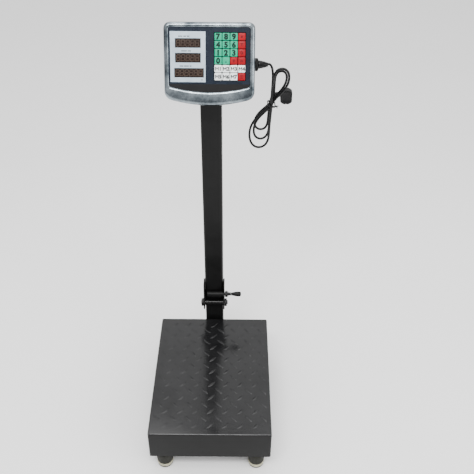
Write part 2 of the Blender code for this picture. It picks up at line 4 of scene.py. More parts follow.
import bmesh
import bpy
import numpy as np
from mathutils import Matrix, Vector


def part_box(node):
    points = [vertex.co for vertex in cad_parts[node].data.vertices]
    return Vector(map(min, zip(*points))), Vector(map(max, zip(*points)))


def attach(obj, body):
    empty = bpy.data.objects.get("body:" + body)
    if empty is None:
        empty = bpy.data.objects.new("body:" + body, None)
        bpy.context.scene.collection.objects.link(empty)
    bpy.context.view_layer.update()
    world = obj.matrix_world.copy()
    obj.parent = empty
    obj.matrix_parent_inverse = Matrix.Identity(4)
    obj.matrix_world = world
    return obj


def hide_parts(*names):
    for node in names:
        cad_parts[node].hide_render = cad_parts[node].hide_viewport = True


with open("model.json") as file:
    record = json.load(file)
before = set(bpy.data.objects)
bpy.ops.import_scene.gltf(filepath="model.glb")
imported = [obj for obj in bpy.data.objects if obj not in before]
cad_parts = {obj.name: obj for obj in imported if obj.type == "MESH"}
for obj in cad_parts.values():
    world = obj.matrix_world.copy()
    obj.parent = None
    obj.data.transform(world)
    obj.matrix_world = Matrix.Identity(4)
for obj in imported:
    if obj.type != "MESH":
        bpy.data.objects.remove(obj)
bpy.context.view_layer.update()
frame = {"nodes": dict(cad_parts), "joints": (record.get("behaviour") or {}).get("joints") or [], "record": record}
mm = 0.001
tau = 2 * math.pi
bodyOf = {node: body for body, members in frame["record"]["behaviour"]["bodies"].items() for node in members}
print("frame loaded:", len(frame["nodes"]), "nodes")


# the two far corners of a frame node's box
def boxOf(node):
    return [np.array(corner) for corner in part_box(node)]


def pointsOf(mesh):
    points = np.zeros(len(mesh.vertices) * 3)
    mesh.vertices.foreach_get("co", points)
    return points.reshape(-1, 3)


def linked(name, data):
    thing = bpy.data.objects.new(name, data)
    bpy.context.scene.collection.objects.link(thing)
    return thing


# a matrix whose columns are three axes and a place
def standing(axes, place):
    return Matrix(np.column_stack([*axes, place]).tolist() + [[0, 0, 0, 1]])


# camera, in millimetres and degrees: at the viewer's place, looking down on the platform
cameraView = {"place": (60.9, -1233.0, 1492.0), "down": 37.02, "side": 0.06, "roll": 0.48, "focal": 51.18}


def makeCamera(view):
    down, side, roll = (math.radians(view[key]) for key in ("down", "side", "roll"))
    ahead = np.array([math.sin(side) * math.cos(down), math.cos(side) * math.cos(down), -math.sin(down)])
    level = np.array([math.cos(side), -math.sin(side), 0.0])
    over = np.cross(level, ahead)
    right = math.cos(roll) * level + math.sin(roll) * over
    up = math.cos(roll) * over - math.sin(roll) * level
    data = bpy.data.cameras.new("camera")
    data.lens = view["focal"]
    data.sensor_width = 36
    data.clip_end = 50
    camera = linked("camera", data)
    camera.matrix_world = standing((right, up, -ahead), np.array(view["place"]) * mm)
    bpy.context.scene.camera = camera


makeCamera(cameraView)


# a shape is (points in metres, faces); rings of equal length become quads, and open ends get flat caps
def fromRings(rings, loop=False):
    rings = np.asarray(rings, float)
    n, m = rings.shape[:2]
    row = np.arange(n if loop else n - 1)[:, None]
    column = np.arange(m)[None, :]
    following, beside = (row + 1) % n, (column + 1) % m
    corners = [row * m + column, row * m + beside, following * m + beside, following * m + column]
    faces = np.stack(corners, -1).reshape(-1, 4).tolist()
    if not loop:
        faces += [list(range(m))[::-1], list(range((n - 1) * m, n * m))]
    return rings.reshape(-1, 3), faces


def joined(shapes):
    points, faces, start = [], [], 0
    for shapePoints, shapeFaces in shapes:
        points.append(shapePoints)
        faces += [[index + start for index in face] for face in shapeFaces]
        start += len(shapePoints)
    return np.concatenate(points), faces


# a flat outline laid at one depth along the third axis
def atDepth(flat, depth):
    return np.column_stack([flat, np.full(len(flat), depth)])


# carries a shape into place: its own three axes and its origin
def placed(shape, origin, first=(1, 0, 0), second=(0, 1, 0), third=(0, 0, 1)):
    points, faces = shape
    return points @ np.array([first, second, third], float) + np.array(origin, float), faces


# the two axes that complete a third one
def squareTo(axis):
    axis = np.array(axis, float) / np.linalg.norm(axis)
    helper = np.array([0, 0, 1.0]) if abs(axis[2]) < 0.9 else np.array([1.0, 0, 0])
    first = np.cross(helper, axis)
    first /= np.linalg.norm(first)
    return first, np.cross(axis, first), axis


def along(shape, origin, axis):
    return placed(shape, origin, *squareTo(axis))


def acrossX(shape, x, y, z):
    return along(shape, (x, y, z), (1, 0, 0))


# four quarter circles, counter-clockwise
def roundedRect(halfA, halfB, radius, perCorner=5):
    corner = np.repeat(np.arange(4), perCorner + 1)
    angle = corner * math.pi / 2 + np.tile(np.linspace(0, math.pi / 2, perCorner + 1), 4)
    middle = corner * math.pi / 2 + math.pi / 4
    a = np.sign(np.cos(middle)) * (halfA - radius) + radius * np.cos(angle)
    b = np.sign(np.sin(middle)) * (halfB - radius) + radius * np.sin(angle)
    return np.stack([a, b], 1)


# a block along its third axis: rounded-rectangle rings, the end rings drawn in along a quarter circle
def block(halfA, halfB, low, high, corner, edge, perCorner=4, perEdge=3, crown=0.0):
    t = np.linspace(0, math.pi / 2, perEdge + 1)
    inset = np.concatenate([edge * (1 - np.sin(t)), edge * (1 - np.sin(t[::-1]))])
    depth = np.concatenate([low + edge * (1 - np.cos(t)), high - edge * (1 - np.cos(t[::-1]))])
    rings = []
    for ringInset, ringDepth in zip(inset, depth):
        flat = roundedRect(halfA - ringInset, halfB - ringInset, max(corner - ringInset, edge * 0.2), perCorner)
        rings.append(atDepth(flat, ringDepth))
    if crown:
        for share in (0.6, 0.25):
            flat = roundedRect((halfA - edge) * share, (halfB - edge) * share, corner * share, perCorner)
            rings.insert(0, atDepth(flat, low - crown * (1 - share ** 2)))
    return fromRings(rings)


# (radius, height) pairs carried round the third axis
def turned(profile, sides=32, loop=False):
    profile = np.asarray(profile, float)
    angle = np.arange(sides) * tau / sides
    radius, height = profile[:, 0, None], profile[:, 1, None]
    rings = np.stack([radius * np.cos(angle), radius * np.sin(angle), height + 0 * angle], -1)
    return fromRings(rings, loop=loop)


# the smaller of a hexagon and a cone, so that the corners are chamfered as on a turned bolt head
def hexHead(acrossFlats, height):
    angle = np.arange(72) * tau / 72
    hexagon = acrossFlats / 2 / np.cos((angle + math.pi / 6) % (math.pi / 3) - math.pi / 6)
    share = np.array([0, 0.05, 0.13, 0.2, 0.8, 0.87, 0.95, 1.0])
    cone = acrossFlats / 2 * np.array([0.97, 1.03, 1.09, 1.17, 1.17, 1.09, 1.03, 0.97])
    radius = np.minimum(hexagon[None, :], cone[:, None])
    level = share[:, None] * height + 0 * radius
    return fromRings(np.stack([radius * np.cos(angle), radius * np.sin(angle), level], -1))


# eight-sided rings square to a path, with one side of each ring kept level
def tubeAlong(path, radius, loop=False):
    path = np.asarray(path, float)
    ahead = np.roll(path, -1, 0) - np.roll(path, 1, 0) if loop else np.gradient(path, axis=0)
    ahead /= np.linalg.norm(ahead, axis=1, keepdims=True)
    side = np.cross(ahead, [0, 0, 1.0])
    side /= np.linalg.norm(side, axis=1, keepdims=True)
    over = np.cross(side, ahead)
    angle = np.arange(8) * tau / 8
    radius = np.broadcast_to(np.asarray(radius, float), (len(path),))[:, None, None]
    ring = side[:, None] * np.cos(angle)[None, :, None] + over[:, None] * np.sin(angle)[None, :, None]
    return fromRings(path[:, None] + radius * ring, loop)


# a Catmull-Rom curve through rows of numbers, each stretch read at evenly spaced values
def smoothRows(rows, perStretch):
    rows = np.asarray(rows, float)
    ends = np.vstack([2 * rows[0] - rows[1], rows, 2 * rows[-1] - rows[-2]])
    t = (np.arange(perStretch) / perStretch)[None, :, None]
    a, b, c, d = (ends[k:len(ends) - 3 + k, None] for k in range(4))
    curve = (2 * b + (c - a) * t + (2 * a - 5 * b + 4 * c - d) * t ** 2 + (3 * b - a - 3 * c + d) * t ** 3) / 2
    return np.vstack([curve.reshape(-1, rows.shape[1]), rows[-1:]])


def cleanMesh(mesh, flatten=False):
    # merge what coincides, join faces in one plane if asked to, and turn every face outwards
    bm = bmesh.new()
    bm.from_mesh(mesh)
    bmesh.ops.remove_doubles(bm, verts=bm.verts, dist=2e-6)
    if flatten:
        bmesh.ops.dissolve_limit(bm, angle_limit=math.radians(1), verts=bm.verts, edges=bm.edges)
    else:
        bmesh.ops.dissolve_degenerate(bm, dist=1e-7, edges=bm.edges)
    bmesh.ops.recalc_face_normals(bm, faces=bm.faces)
    bm.to_mesh(mesh)
    bm.free()


def shadeMesh(mesh, sharp):
    mesh.shade_smooth()
    mesh.set_sharp_from_angle(angle=math.radians(sharp))


def rideOn(piece, body, instead):
    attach(piece, body)
    if instead:
        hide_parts(*instead)


def makePiece(name, shape, material, body, instead, sharp=35):
    points, faces = shape
    mesh = bpy.data.meshes.new(name)
    mesh.from_pydata(points.tolist(), [], faces)
    cleanMesh(mesh)
    shadeMesh(mesh, sharp)
    mesh.materials.append(material)
    piece = linked(name, mesh)
    rideOn(piece, body, instead)
    return piece


# a copy of a frame part with its flat faces made whole again and its edges rounded off
def softenNode(name, node, material, body, width):
    mesh = frame["nodes"][node].data.copy()
    mesh.name = name
    mesh.materials.clear()
    mesh.materials.append(material)
    cleanMesh(mesh, flatten=True)
    mesh.polygons.foreach_set("material_index", np.zeros(len(mesh.polygons), int))
    shadeMesh(mesh, 30)
    piece = linked(name, mesh)
    edge = piece.modifiers.new("edge", "BEVEL")
    edge.width = width * mm
    edge.segments = 2
    edge.limit_method = "ANGLE"
    edge.angle_limit = math.radians(40)
    edge.use_clamp_overlap = True
    rideOn(piece, body, [node])


# sRGB hex to linear: ((c + 0.055) / 1.055) to the power 2.4, or c / 12.92 near black
def hexColour(code):
    srgb = np.array([int(code[i:i + 2], 16) for i in (0, 2, 4)]) / 255
    linear = np.where(srgb <= 0.04045, srgb / 12.92, ((srgb + 0.055) / 1.055) ** 2.4)
    return (*linear.tolist(), 1.0)


# adds one node; inputs maps a socket to a value or to another node's output
def addNode(tree, kind, inputs=None, stops=None, **settings):
    node = tree.nodes.new(kind)
    for key, value in settings.items():
        setattr(node, key, value)
    for socket, value in (inputs or {}).items():
        if isinstance(value, bpy.types.NodeSocket):
            tree.links.new(value, node.inputs[socket])
        else:
            node.inputs[socket].default_value = value
    if stops:
        elements = node.color_ramp.elements
        for element, (position, colour) in zip(elements, stops):
            element.position = position
            element.color = colour
    return node


# specular levels turned down: the real coats look darker than a clean gloss would
satin = {"Specular IOR Level": 0.22}
matt = {"Specular IOR Level": 0.14}


# Two close shades drift over patches, the roughness drifts with them, and a fine bump is the grain.
# Sizes are in millimetres, and a noise's scale is one over its feature size in metres.
def makeMaterial(name, light, dark, rough, patch, grain, depth, metallic=0.0, grainStretch=(1, 1, 1), **fixed):
    material = bpy.data.materials.new(name)
    material.use_nodes = True
    tree = material.node_tree
    shader = tree.nodes["Principled BSDF"]
    shader.inputs["Metallic"].default_value = metallic
    for socket, value in fixed.items():
        shader.inputs[socket].default_value = value
    coords = addNode(tree, "ShaderNodeTexCoord").outputs["Object"]
    drift = addNode(tree, "ShaderNodeTexNoise", {"Vector": coords, "Scale": 1 / (patch * mm), "Detail": 4.0,
                                                 "Roughness": 0.6})
    shades = addNode(tree, "ShaderNodeValToRGB", {"Fac": drift.outputs["Fac"]},
                     [(0.32, hexColour(dark)), (0.7, hexColour(light))])
    tree.links.new(shades.outputs["Color"], shader.inputs["Base Color"])
    gloss = addNode(tree, "ShaderNodeMapRange", {"Value": drift.outputs["Fac"], "From Min": 0.3, "From Max": 0.7,
                                                 "To Min": rough[0], "To Max": rough[1]})
    tree.links.new(gloss.outputs["Result"], shader.inputs["Roughness"])
    stretched = addNode(tree, "ShaderNodeMapping", {"Vector": coords, "Scale": grainStretch})
    fine = addNode(tree, "ShaderNodeTexNoise", {"Vector": stretched.outputs["Vector"], "Scale": 1 / (grain * mm),
                                                "Detail": 3.0, "Roughness": 0.55})
    bump = addNode(tree, "ShaderNodeBump", {"Height": fine.outputs["Fac"], "Distance": depth * mm,
                                            "Strength": 1.0})
    tree.links.new(bump.outputs["Normal"], shader.inputs["Normal"])
    return material


# black powder coat on steel: baked satin paint whose orange peel blurs what it mirrors
powderCoat = makeMaterial("black_powder_coat", "131313", "0d0d0d", (0.3, 0.42), 45, 1.6, 0.05, **matt)
# the same paint, shinier over tread plate, with handling dust that dulls it in patches
treadPaint = makeMaterial("tread_plate_paint", "1b1b1c", "121213", (0.13, 0.21), 55, 1.4, 0.015)
# brushed-on gloss enamel of the hinge
glossEnamel = makeMaterial("black_gloss_enamel", "121212", "0b0b0b", (0.16, 0.24), 20, 2.2, 0.04, **satin)
# zinc plate: a thin blue-white passivated coat, slightly cloudy
zincPlate = makeMaterial("zinc_plate", "9a9a98", "747471", (0.26, 0.4), 9, 0.5, 0.01, 1.0)
# oiled black steel of the pivot's bolt heads
blackOxide = makeMaterial("black_oxide_steel", "262626", "181818", (0.3, 0.42), 8, 0.6, 0.02, 0.6)
# milled aluminium: tool marks run across the bar every 0.6 mm
milledAluminium = makeMaterial("milled_aluminium", "a4a6a8", "8a8d90", (0.3, 0.42), 20, 0.6, 0.02, 1.0,
                               (0.05, 1, 1))
# moulded rubber: matt, with a grey bloom
footRubber = makeMaterial("moulded_rubber", "24241e", "181813", (0.6, 0.76), 14, 0.8, 0.05, **satin)
# plated washer of the foot, dulled and yellowed
footRing = makeMaterial("yellowed_zinc_washer", "c4c0a6", "8f8b76", (0.4, 0.55), 7, 0.5, 0.03, 0.3)
# chrome over moulded ABS with slow waves of the moulding under it; its colour drifts from light to dark bluish
# grey in patches: painted reflections
chromedAbs = makeMaterial("chromed_abs", "9fa9af", "3c444a", (0.1, 0.24), 34, 16, 0.5, 1.0, (0.5, 1, 1))
# black ABS with a fine spark-eroded texture
blackAbs = makeMaterial("black_abs", "0e0e0f", "09090a", (0.42, 0.56), 30, 0.9, 0.06, **satin)
# blue-black polyester face film, back-printed and slightly glossy
faceFilm = makeMaterial("blue_black_face_film", "18202c", "121923", (0.22, 0.32), 40, 5, 0.02, **satin)
# silver-blue metallic ink under a satin film
silverFilm = makeMaterial("silver_printed_film", "bccbd6", "a8b8c4", (0.3, 0.4), 30, 0.7, 0.01, 0.2)
# smoked brown filter over the displays
displayFilter = makeMaterial("smoked_display_filter", "231813", "1a110d", (0.12, 0.18), 30, 10, 0.01, **satin)
# unlit segments behind the filter
unlitSegment = makeMaterial("unlit_segment", "48392f", "3a2e27", (0.35, 0.45), 12, 1, 0.01, **satin)
# silicone key caps with a satin skin
keyGreen = makeMaterial("green_key_silicone", "00a47c", "008f6b", (0.34, 0.44), 22, 0.9, 0.02, **satin)
keyRed = makeMaterial("red_key_silicone", "980012", "84000f", (0.34, 0.44), 22, 0.9, 0.02, **satin)
keyWhite = makeMaterial("white_key_silicone", "f6f8f8", "eaeeee", (0.34, 0.44), 22, 0.9, 0.02, **satin)
# screen-printed ink
darkInk = makeMaterial("dark_printing_ink", "0a1210", "070d0c", (0.45, 0.55), 6, 0.4, 0.005, **satin)
redInk = makeMaterial("dark_red_printing_ink", "3c050c", "300409", (0.45, 0.55), 6, 0.4, 0.005, **satin)
# extruded PVC sheath with a satin skin and a drift of shade
cordPvc = makeMaterial("cord_pvc", "0c0c0d", "070708", (0.24, 0.34), 12, 1.2, 0.04, **satin)
# moulded PVC of the connector and plug
plugPvc = makeMaterial("moulded_pvc", "0d0d0e", "080809", (0.26, 0.38), 16, 0.8, 0.04, **satin)
# brass pins with a nickel flash
nickelPin = makeMaterial("nickelled_brass", "c2beb2", "a6a296", (0.2, 0.3), 6, 0.5, 0.01, 1.0)
# green solder mask over laminate
circuitBoard = makeMaterial("solder_mask_laminate", "0f5a2e", "0b4322", (0.25, 0.35), 12, 1.1, 0.05)
# moulded ABS battery case
batteryCase = makeMaterial("battery_case_abs", "1c1c20", "141418", (0.4, 0.5), 24, 0.9, 0.04)
print("materials made")

# the head's own frame: x right, in goes straight into the face, up lies in the face
intoHead = next(np.array(joint["axis"], float) for joint in frame["joints"] if joint["name"] == "key_7_press")
intoHead /= np.linalg.norm(intoHead)
rightHead = np.array([1.0, 0, 0])
upHead = np.cross(rightHead, intoHead)
shellPoints = pointsOf(frame["nodes"]["front_shell"].data)
headTop, headFront = 87 * mm, 0.2 * mm
frontPlane, topPlane = (shellPoints @ intoHead).min() - headFront, (shellPoints @ upHead).max() - headTop
headOrigin = intoHead * frontPlane + upHead * topPlane


# head coordinates in millimetres, (x, up, in), to the frame
def onHead(shape):
    points, faces = shape
    return (points * mm) @ np.array([rightHead, upHead, intoHead]) + headOrigin, faces


def headPlace(x, up, depth):
    return rightHead * x * mm + upHead * up * mm + intoHead * depth * mm + headOrigin


# mains lead: a free stretch through chosen points, then a hank of figure-eight turns worked out by a loop
lead = {
    "diameter": 5.5,
    "free": [(122, 175.6, 905), (125, 175.6, 905.1), (128, 175.6, 905.1), (130.5, 175.6, 905), (133.3, 175.4, 903),
             (135.4, 174.7, 899.6), (137.1, 173, 894.6), (138.3, 170.2, 886.5), (138.7, 167.8, 877),
             (138.5, 167.2, 866.8), (138.1, 167, 852), (137.7, 167, 838), (137.4, 166.9, 825)],
    "waist": (137.3, 812), "plane": 175.6,
    # each lobe: where its tip is, how wide it swings, how pinched its neck is, how far it bows to one side
    "lower": [((108.5, 703.5), 22.3, 0.7, -6.0), ((108.5, 720), 17.4, 0.8, -4.5), ((112.5, 742), 15.5, 0.9, -2.5)],
    "upper": [((161.5, 887.5), 13.8, 1.05, 3.0), ((163.0, 895.5), 16.0, 1.05, 4.5)],
    # the six strands at the waist: how far to the right and how far back of the middle each one passes
    "strands": [(0, -8.7), (-2.85, -2.9), (2.85, 2.9), (2.85, -2.9), (-2.85, 2.9), (0, 8.7)],
    # over which share of each lobe its strand changes layer
    "crossing": [(0.6, 0.86), (0.06, 0.2), (0.5, 0.85), (0.6, 0.86), (0.08, 0.3)],
    "tail": [(138.9, 184.4, 816.5), (142.3, 185.4, 821.6), (146, 187.8, 825.8), (149.6, 190.6, 828),
             (153.5, 192.6, 828.1), (158, 194.6, 827)],
}


# 3 s squared less 2 s cubed: a slow start and a slow end
def eased(s):
    return s ** 2 * (3 - 2 * s)


# Half a figure of eight: out from the waist, round the tip and back. The distance along the lobe is
# (1 - cos 2 pi u) / 2 of its length, and the distance across is sin 2 pi u times a power of that.
def lobe(waist, tip, width, pinch, bow, turn, first, last, crossing):
    u = np.linspace(0.06, 0.94, 23)
    length = np.hypot(tip[0] - waist[0], tip[1] - waist[1])
    axis = np.array([tip[0] - waist[0], tip[1] - waist[1]]) / length
    across = np.array([-axis[1], axis[0]]) * turn
    out = (1 - np.cos(tau * u)) / 2
    swing = np.sin(tau * u) * out ** pinch
    sideways = width * swing / swing.max() + bow * np.sin(math.pi * out) ** 2
    flat = np.array(waist) + np.outer(out * length, axis) + np.outer(sideways, across)
    share = eased(np.clip((u - crossing[0]) / (crossing[1] - crossing[0]), 0, 1))
    x = flat[:, 0] + first[0] + (last[0] - first[0]) * u
    y = lead["plane"] + first[1] + (last[1] - first[1]) * share
    return np.column_stack([x, y, flat[:, 1]])


def leadRoute():
    route = [np.array(lead["free"], float)]
    for number, crossing in enumerate(lead["crossing"]):
        low = number % 2 == 0
        tip, width, pinch, bow = lead["lower" if low else "upper"][number // 2]
        turn = 1 if low else -1
        route.append(lobe(lead["waist"], tip, width, pinch, bow, turn,
                          lead["strands"][number], lead["strands"][number + 1], crossing))
    route.append(np.array(lead["tail"], float))
    return smoothRows(np.vstack(route), 4) * mm


def makeLead():
    route = leadRoute()
    curve = bpy.data.curves.new("mains_lead", "CURVE")
    curve.dimensions = "3D"
    curve.bevel_depth = lead["diameter"] / 2 * mm
    curve.bevel_resolution = 4
    curve.use_fill_caps = True
    spline = curve.splines.new("POLY")
    spline.points.add(len(route) - 1)
    spline.points.foreach_set("co", np.column_stack([route, np.ones(len(route))]).ravel())
    spline.use_smooth = True
    curve.materials.append(cordPvc)
    piece = linked("mains_lead", curve)
    rideOn(piece, "head", ["cord_lead", "cord_hank"])
    length = float(np.linalg.norm(np.diff(route, axis=0), axis=1).sum())
    print("mains lead is", round(length, 3), "m long")
    return piece, length


mainsLead, leadLength = makeLead()

# connector in the side inlet: a block with grip ribs, then a boot that thins out to the cord
connector = {"x": 95.8, "depth": 38, "halfUp": 14, "halfDeep": 8, "bodyEnd": 105, "bootEnd": 127.4,
             "corner": 2.4, "edge": 1.2, "shoulderFrom": 8.4, "shoulderLong": 3.4, "ribs": 7, "ribsReach": 9,
             "bootFrom": 11.2, "bootThick": 9.0, "bootThins": 4.7, "grooves": 6, "grooveDeep": 0.7}


def makeConnector():
    c = connector
    middle = headPlace(c["x"], 0, c["depth"])
    axes = (intoHead, upHead, rightHead)
    length = (c["bodyEnd"] - c["x"]) * mm
    body = block(c["halfDeep"] * mm, c["halfUp"] * mm, 0, length, c["corner"] * mm, c["edge"] * mm)
    # the shoulder from the block to the boot: a rounded rectangle that turns into a circle
    rings = []
    for s in np.linspace(0, 1, 9):
        ease = eased(s)
        ring = roundedRect(7.4 + 1.2 * ease, 12.8 - 4.2 * ease, 2.2 + 6.39 * ease)
        rings.append(atDepth(ring, c["shoulderFrom"] + c["shoulderLong"] * s) * mm)
    shapes = [placed(body, middle, *axes), placed(fromRings(rings), middle, *axes)]
    rib = block(8.5 * mm, 0.55 * mm, 1.5 * mm, 7.5 * mm, 0.5 * mm, 0.4 * mm)
    for up in np.linspace(-c["ribsReach"], c["ribsReach"], c["ribs"]):
        shapes.append(placed(rib, middle + upHead * up * mm, *axes))
    moulding = makePiece("connector_body", joined(shapes), plugPvc, "head", ["power_connector"])
    # boot: the radius falls with a power of the way along, cut by grooves
    t = np.linspace(0, 1, 97)
    groove = c["grooveDeep"] * np.clip(np.sin(t * tau * c["grooves"]) * 2.5, 0, 1) * (t > 0.08) * (t < 0.97)
    start, end = c["bootFrom"], c["bootEnd"] - c["x"]
    radius = c["bootThick"] - c["bootThins"] * t ** 1.7 - groove
    profile = np.column_stack([radius, start + (end - start) * t]) * mm
    boot = makePiece("connector_boot", placed(turned(profile, 28), middle, *axes), plugPvc, "head", ())
    return moulding, boot


connectorBody, connectorBoot = makeConnector()

# plug: a round moulding with flat sides, a raised rim, two pins and a ribbed neck
plug = {"x": 172.5, "z": 819.4, "radius": 17.5, "halfWidth": 13.5, "notch": 1.6, "notchWide": 0.09,
        "neckFoot": (-11.5, 7.0, 5.6), "neckAxis": (-0.88, -0.41, 0.23), "neckLong": 17.4, "neckThick": 7.2,
        "neckThins": 3.1, "pinRadius": 2.4, "pinGap": 19, "pinFrom": 19.5}
# (share of the outline, depth from the back)
plugProfile = [(0.0, 1.1), (0.3, 1.1), (0.62, 0.9), (0.7, 0.15), (0.78, 0.0), (0.9, 0.05), (0.97, 0.6), (1.0, 2.2),
               (1.0, 10.5), (0.975, 11.0), (0.975, 12.0), (1.0, 12.5), (1.0, 18.2), (0.96, 19.6), (0.86, 20.0),
               (0.0, 20.0)]


def makePlug():
    p = plug
    low, high = boxOf("mains_plug")
    centre = np.array([p["x"] * mm, low[1], p["z"] * mm])
    angle = np.arange(96) * tau / 96
    # outline: a circle cut by two flats, with a guide groove at its top and bottom
    across = np.clip(p["radius"] * np.cos(angle), -p["halfWidth"], p["halfWidth"])
    notch = 0
    for turn in (-math.pi / 2, math.pi / 2):
        away = (angle + turn + math.pi) % tau - math.pi
        notch = notch + p["notch"] * np.exp(-(away / p["notchWide"]) ** 2)
    upright = (p["radius"] - notch) * np.sin(angle)
    share, back = np.array(plugProfile).T[:, :, None]
    rings = np.stack([share * across, back + 0 * across, share * upright], -1) * mm
    body = placed(fromRings(rings), centre)
    t = np.linspace(0, 1, 49)
    groove = 0.5 * np.clip(np.sin(t * tau * 4) * 2.5, 0, 1) * (t > 0.3)
    profile = np.column_stack([p["neckThick"] - p["neckThins"] * t ** 0.8 - groove, p["neckLong"] * t]) * mm
    neck = along(turned(profile, 24), centre + np.array(p["neckFoot"]) * mm, p["neckAxis"])
    moulding = makePiece("plug_moulding", joined([body, neck]), plugPvc, "head", ["mains_plug"])
    length = high[1] - low[1] - p["pinFrom"] * mm
    r = p["pinRadius"] * mm
    pin = turned([(0, 0), (r * 1.25, 0), (r * 1.25, 1.2 * mm), (r, 1.4 * mm), (r, length - 1.6 * mm),
                  (r * 0.8, length - 0.5 * mm), (r * 0.45, length - 0.05 * mm), (0, length)], 24)
    pins = [along(pin, centre + np.array([side * p["pinGap"], p["pinFrom"], 0]) * mm, (0, 1, 0))
            for side in (-0.5, 0.5)]
    return moulding, makePiece("plug_pins", joined(pins), nickelPin, "head", ())


plugMoulding, plugPins = makePlug()

# twist tie: two turns of wire round the waist of the hank, with the ends twisted together
tie = {"halfAcross": 8.4, "halfDeep": 13.2, "wire": 1.1, "lift": -3.0}


def makeTie():
    middle = np.array([lead["waist"][0] + 0.6, lead["plane"], lead["waist"][1] + tie["lift"]])
    shapes = []
    for step in (0.0, 2.3):
        ring = roundedRect(tie["halfAcross"], tie["halfDeep"], 5.5, 8)
        lean = ring[:, 0] * -0.25
        path = np.column_stack([ring[:, 0], ring[:, 1], lean + step]) + middle
        shapes.append(tubeAlong(path * mm, tie["wire"] * mm, loop=True))
    # the ends: a short two-strand twist, then two loose tips
    t = np.linspace(0, 1, 33)
    for phase, tip in ((0.0, (3.5, -2.0, 3.0)), (math.pi, (1.0, -1.0, -5.5))):
        twist = np.column_stack([7.5 + 4.5 * t, np.cos(t * 11 + phase) - 9.5, np.sin(t * 11 + phase)])
        last = twist[-1] + np.outer(np.linspace(0.15, 1, 6), tip)
        shapes.append(tubeAlong((np.vstack([twist, last]) + middle) * mm, tie["wire"] * 0.9 * mm))
    return makePiece("twist_tie", joined(shapes), blackAbs, "head", ())


twistTie = makeTie()
print("mains lead and its ends made")

# platform: a folded pan with raised lugs on its top
pan = {"edge": 3.0, "corner": 4.0, "sheet": 3.0, "lugLength": 27.0, "lugWidth": 6.4, "lugHeight": 1.2,
       "lugTip": 0.05, "lugSunk": 0.12, "lugLean": 45, "columns": 15, "columnGap": 18.7, "lugsPerColumn": 9,
       "lugRepeat": 43.2}


def makePan():
    low, high = boxOf("platform_pan")
    middle = (low + high) / 2
    halfA, halfB = (high - low)[:2] / 2
    edge, sheet, corner = (pan[key] * mm for key in ("edge", "sheet", "corner"))
    t = np.linspace(0, math.pi / 2, 7)
    # one section from the inside of the top, down the inner wall, under the rim and up over the outer edge
    inner = [(sheet + 2 * mm, high[2] - sheet), (sheet + 0.6 * mm, high[2] - sheet - 0.4 * mm),
             (sheet, high[2] - sheet - 2 * mm), (sheet, low[2] + 0.5 * mm), (sheet - 0.5 * mm, low[2])]
    outer = [(0.5 * mm, low[2]), (0, low[2] + 0.5 * mm)]
    over = [(edge * (1 - math.cos(a)), high[2] - edge * (1 - math.sin(a))) for a in t]
    rings = []
    for inset, height in inner + outer + over:
        flat = roundedRect(halfA - inset, halfB - inset, max(corner - inset, 0.8 * mm), 5)
        rings.append(atDepth(flat + middle[:2], height))
    piece = makePiece("platform_tread_pan", fromRings(rings), treadPaint, "platform", ["platform_pan"])
    # faces that do not face up, the skirt's, get the darker, less glossy powder coat: painted shade on the sides
    # of one sheet
    piece.data.materials.append(powderCoat)
    normals = np.zeros(len(piece.data.polygons) * 3)
    piece.data.polygons.foreach_get("normal", normals)
    piece.data.polygons.foreach_set("material_index", (normals[2::3] < 0.4).astype(int))
    return low, high


# One lug is a lens: the half width falls as 1 less s to the power 2.2 along it, and the height is a low arch
# across it, sunk a little into the plate
def makeLugs(low, high):
    s = np.linspace(-1, 1, 9)[:, None]
    a = np.linspace(0, math.pi, 6)[None, :]
    halfWidth = pan["lugWidth"] / 2 * (1 - np.abs(s) ** 2.2) + pan["lugTip"]
    rise = pan["lugHeight"] * (1 - s ** 4) ** 0.6
    lug = np.stack([s * pan["lugLength"] / 2 + 0 * a, halfWidth * np.cos(a),
                    rise * np.sin(a) ** 0.7 - pan["lugSunk"]], -1)
    lens = fromRings(lug * mm)
    shapes = []
    # lugs of one column all lean one way; the next column leans the other way and lies half a repeat further on
    for column in range(pan["columns"]):
        fromMiddle = column - (pan["columns"] - 1) // 2
        even = fromMiddle % 2 == 0
        count = pan["lugsPerColumn"] if even else pan["lugsPerColumn"] - 1
        lean = math.radians(pan["lugLean"]) * (1 if even else -1)
        cosine, sine = math.cos(lean), math.sin(lean)
        x = (low[0] + high[0]) / 2 + fromMiddle * pan["columnGap"] * mm
        for row in range(count):
            y = (low[1] + high[1]) / 2 + (row - (count - 1) / 2) * pan["lugRepeat"] * mm
            shapes.append(placed(lens, (x, y, high[2]), (cosine, sine, 0), (-sine, cosine, 0)))
    makePiece("tread_lugs", joined(shapes), treadPaint, "platform", (), 50)


makeLugs(*makePan())
softenNode("spider_channel", "platform_spider", powderCoat, "platform", 0.8)
print("platform made")


# base: rails, crossbars and spine keep the frame's shapes, with rounded arrises
def makeBase():
    for node in ("base_rail_left", "base_rail_right", "base_crossbar_front", "base_crossbar_rear"):
        softenNode(node + "_tube", node, powderCoat, "base", 0.5)
    softenNode("spine_plate", "spine_beam", powderCoat, "base", 0.8)
    softenNode("load_cell_bar", "load_cell", milledAluminium, "base", 0.6)
    # hexagon screws from below into the cell's foot
    end = boxOf("load_cell")[1][1]
    under = boxOf("spine_beam")[0][2]
    shapes = [along(hexHead(10 * mm, 4.6 * mm), (x * mm, end - inward * mm, under), (0, 0, -1))
              for inward in (12, 36) for x in (-9, 9)]
    makePiece("cell_screws", joined(shapes), zincPlate, "base", ())


makeBase()

